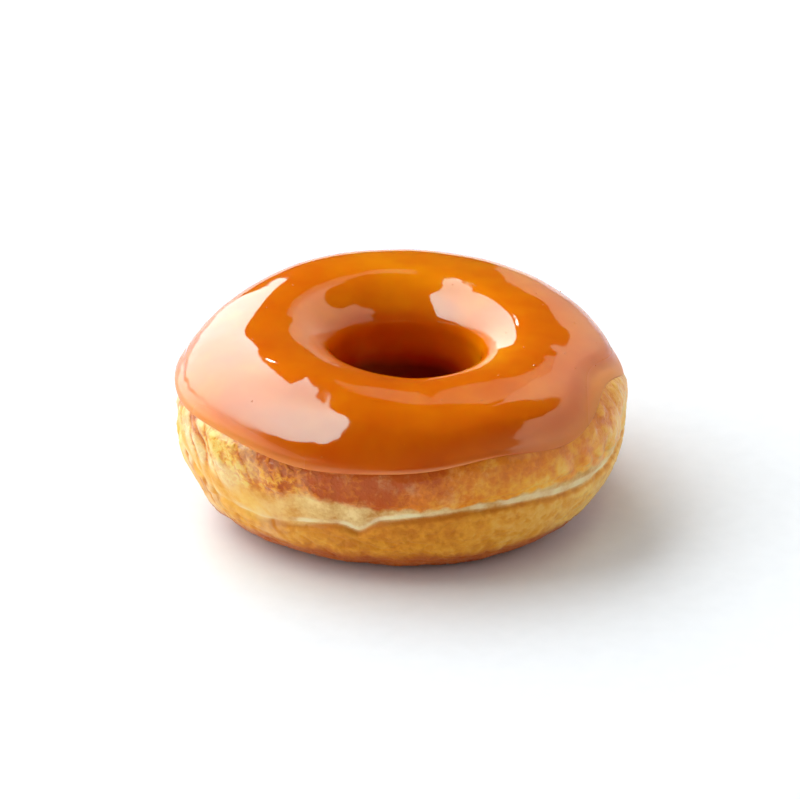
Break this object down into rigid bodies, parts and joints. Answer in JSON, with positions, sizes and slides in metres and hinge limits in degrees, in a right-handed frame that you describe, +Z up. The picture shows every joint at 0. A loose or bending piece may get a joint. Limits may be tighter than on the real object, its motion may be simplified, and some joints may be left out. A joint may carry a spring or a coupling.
{
  "type": "iced ring doughnut",
  "caption": "Yeast-raised ring doughnut: soft golden dough ring with a pale waist line, its top and hole coated in glossy caramel icing.",
  "frame": {"origin": "middle of the doughnut's outline, on the surface that it rests on", "axes": "+Z up through the hole, -Y towards the front of the doughnut, +X to its right"},
  "size_m": [0.0893, 0.0875, 0.0388],
  "materials": {
    "fried_dough": "fried yeast dough, golden brown crust with a pale cream waist band and a browner underside",
    "caramel_icing": "glossy translucent caramel icing, deep amber orange"
  },
  "bodies": {
    "root": {"dough": "fried_dough", "icing": "caramel_icing"}
  },
  "joints": []
}
